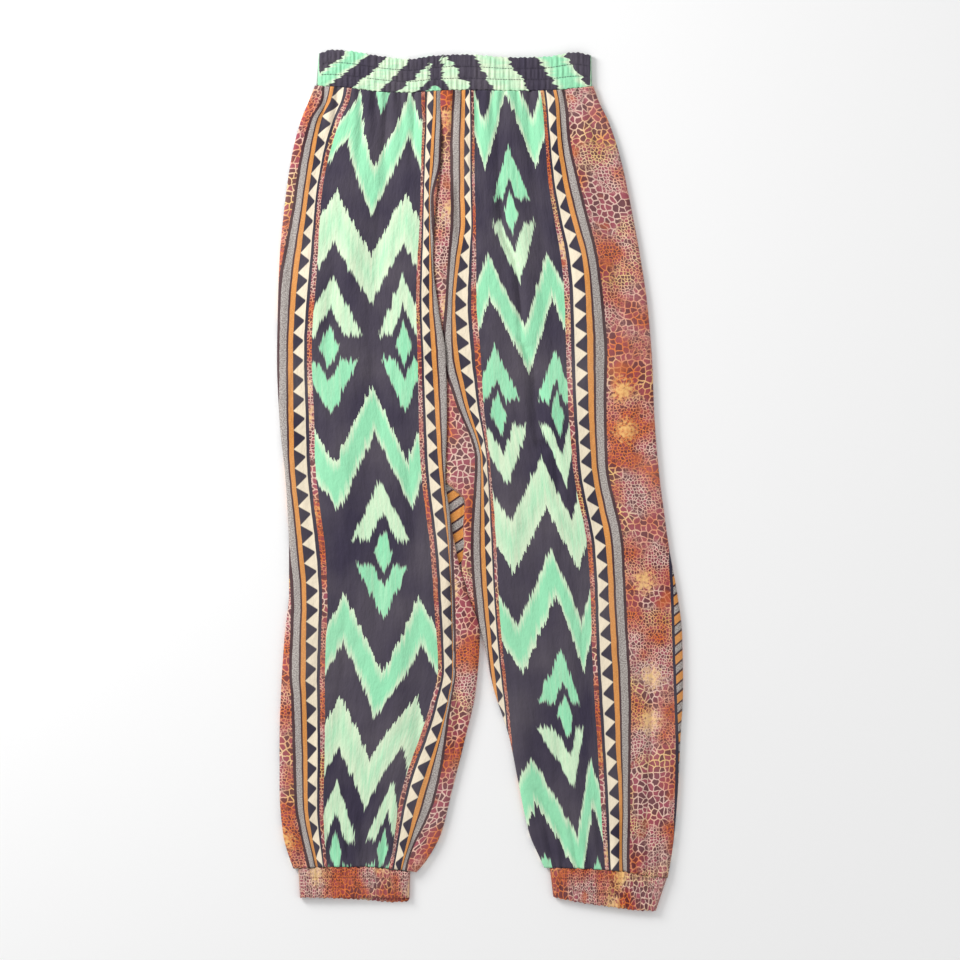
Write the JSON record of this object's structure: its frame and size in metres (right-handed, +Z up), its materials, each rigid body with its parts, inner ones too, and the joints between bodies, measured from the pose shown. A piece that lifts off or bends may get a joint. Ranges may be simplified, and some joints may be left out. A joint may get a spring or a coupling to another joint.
{
  "type": "harem pants laid flat",
  "caption": "Full-length printed harem pants with a low crotch, a gathered elastic waistband and gathered cuffs, laid flat with the front up.",
  "frame": {"origin": "middle of the bounding box in X and Y, on the surface the pants lie on", "axes": "+Y from the cuffs to the waistband, along the length; +X towards the wearer's left leg; +Z up, from the back panels to the front panels"},
  "size_m": [0.4697, 0.9997, 0.0086],
  "materials": {
    "right_front": "matte printed viscose",
    "left_front": "matte printed viscose",
    "right_back": "matte printed viscose",
    "left_back": "matte printed viscose",
    "waistband": "matte printed viscose, gathered on elastic",
    "right_cuff": "matte printed viscose, gathered on elastic",
    "left_cuff": "matte printed viscose, gathered on elastic"
  },
  "bodies": {
    "root": {"right_front": "right_front", "left_front": "left_front", "right_back": "right_back", "left_back": "left_back", "waistband": "waistband", "right_cuff": "right_cuff", "left_cuff": "left_cuff"}
  },
  "joints": []
}
